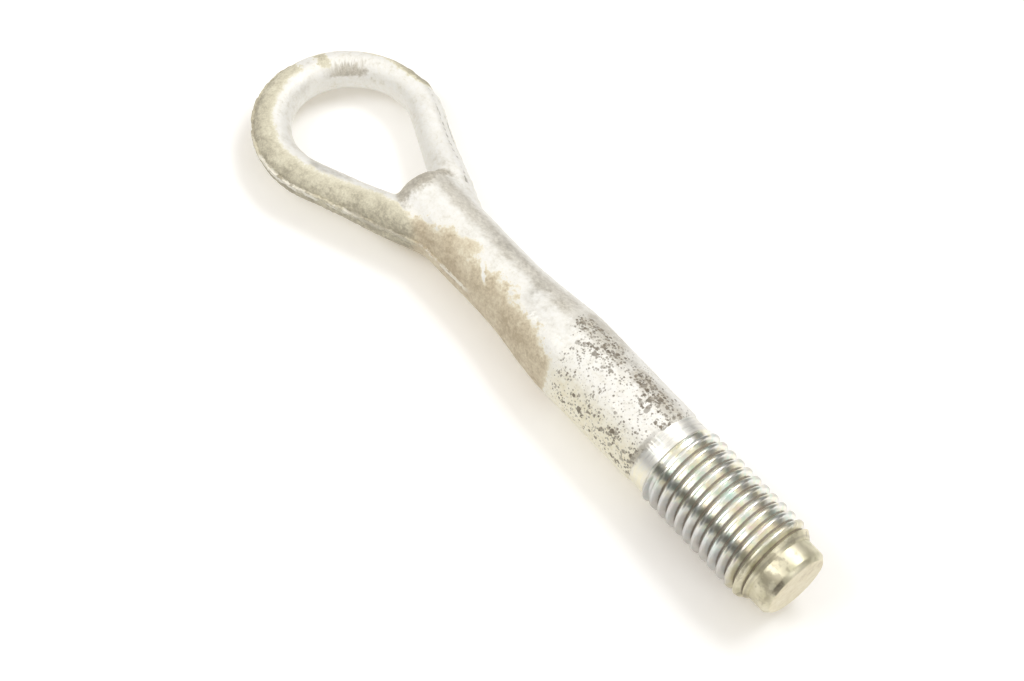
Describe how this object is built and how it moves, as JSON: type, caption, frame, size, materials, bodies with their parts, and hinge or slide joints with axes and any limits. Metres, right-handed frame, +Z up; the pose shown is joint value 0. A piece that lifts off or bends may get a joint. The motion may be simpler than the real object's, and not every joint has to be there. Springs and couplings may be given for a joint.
{
  "type": "tow eye",
  "caption": "Forged steel screw-in tow eye for a car: teardrop eye of round bar on a waisted shank with a coarse metric thread and a dog point.",
  "frame": {"origin": "on the surface the part lies on, under the middle of its bounding box", "axes": "+X from the eye towards the thread's tip (the part's own axis rises by 1.73 degrees towards the tip as it lies), +Y across the eye, +Z up"},
  "size_m": [0.172, 0.0462, 0.0218],
  "materials": {
    "zinc_steel": "zinc plated and passivated forging, weathered: white bloom, black specks and tan grime"
  },
  "bodies": {
    "root": {"tow_eye": "zinc_steel"}
  },
  "joints": []
}
